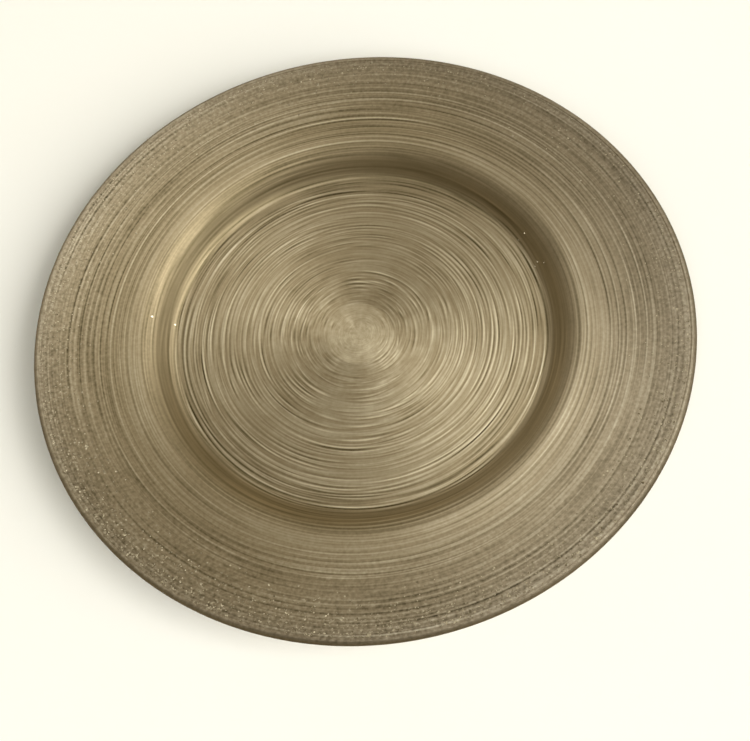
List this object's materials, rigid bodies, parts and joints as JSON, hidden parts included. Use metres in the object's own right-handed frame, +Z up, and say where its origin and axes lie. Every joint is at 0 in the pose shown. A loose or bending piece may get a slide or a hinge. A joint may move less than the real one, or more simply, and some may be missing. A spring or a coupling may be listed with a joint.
{
  "type": "charger plate",
  "caption": "Round charger plate or serving tray with a wide rising rim, a shallow flat well, a brushed gold face, a glitter rim band and rubber foot pads.",
  "frame": {"origin": "middle of the table plane that the foot pads stand on", "axes": "+Z up along the plate's axis, from the table towards the well"},
  "size_m": [0.33, 0.33, 0.0214],
  "materials": {
    "moulded_base": "moulded plastic under a thin satin bronze spray",
    "brushed_gold": "metallic gold lacquer brushed in fine concentric lines",
    "glitter_gold": "metallic gold lacquer with fine glitter",
    "pad_rubber": "matt"
  },
  "bodies": {
    "root": {"plate_body": "moulded_base", "brushed_gold_face": "brushed_gold", "glitter_rim_band": "glitter_gold", "foot_pad_1": "pad_rubber", "foot_pad_2": "pad_rubber", "foot_pad_3": "pad_rubber", "foot_pad_4": "pad_rubber"}
  },
  "joints": []
}
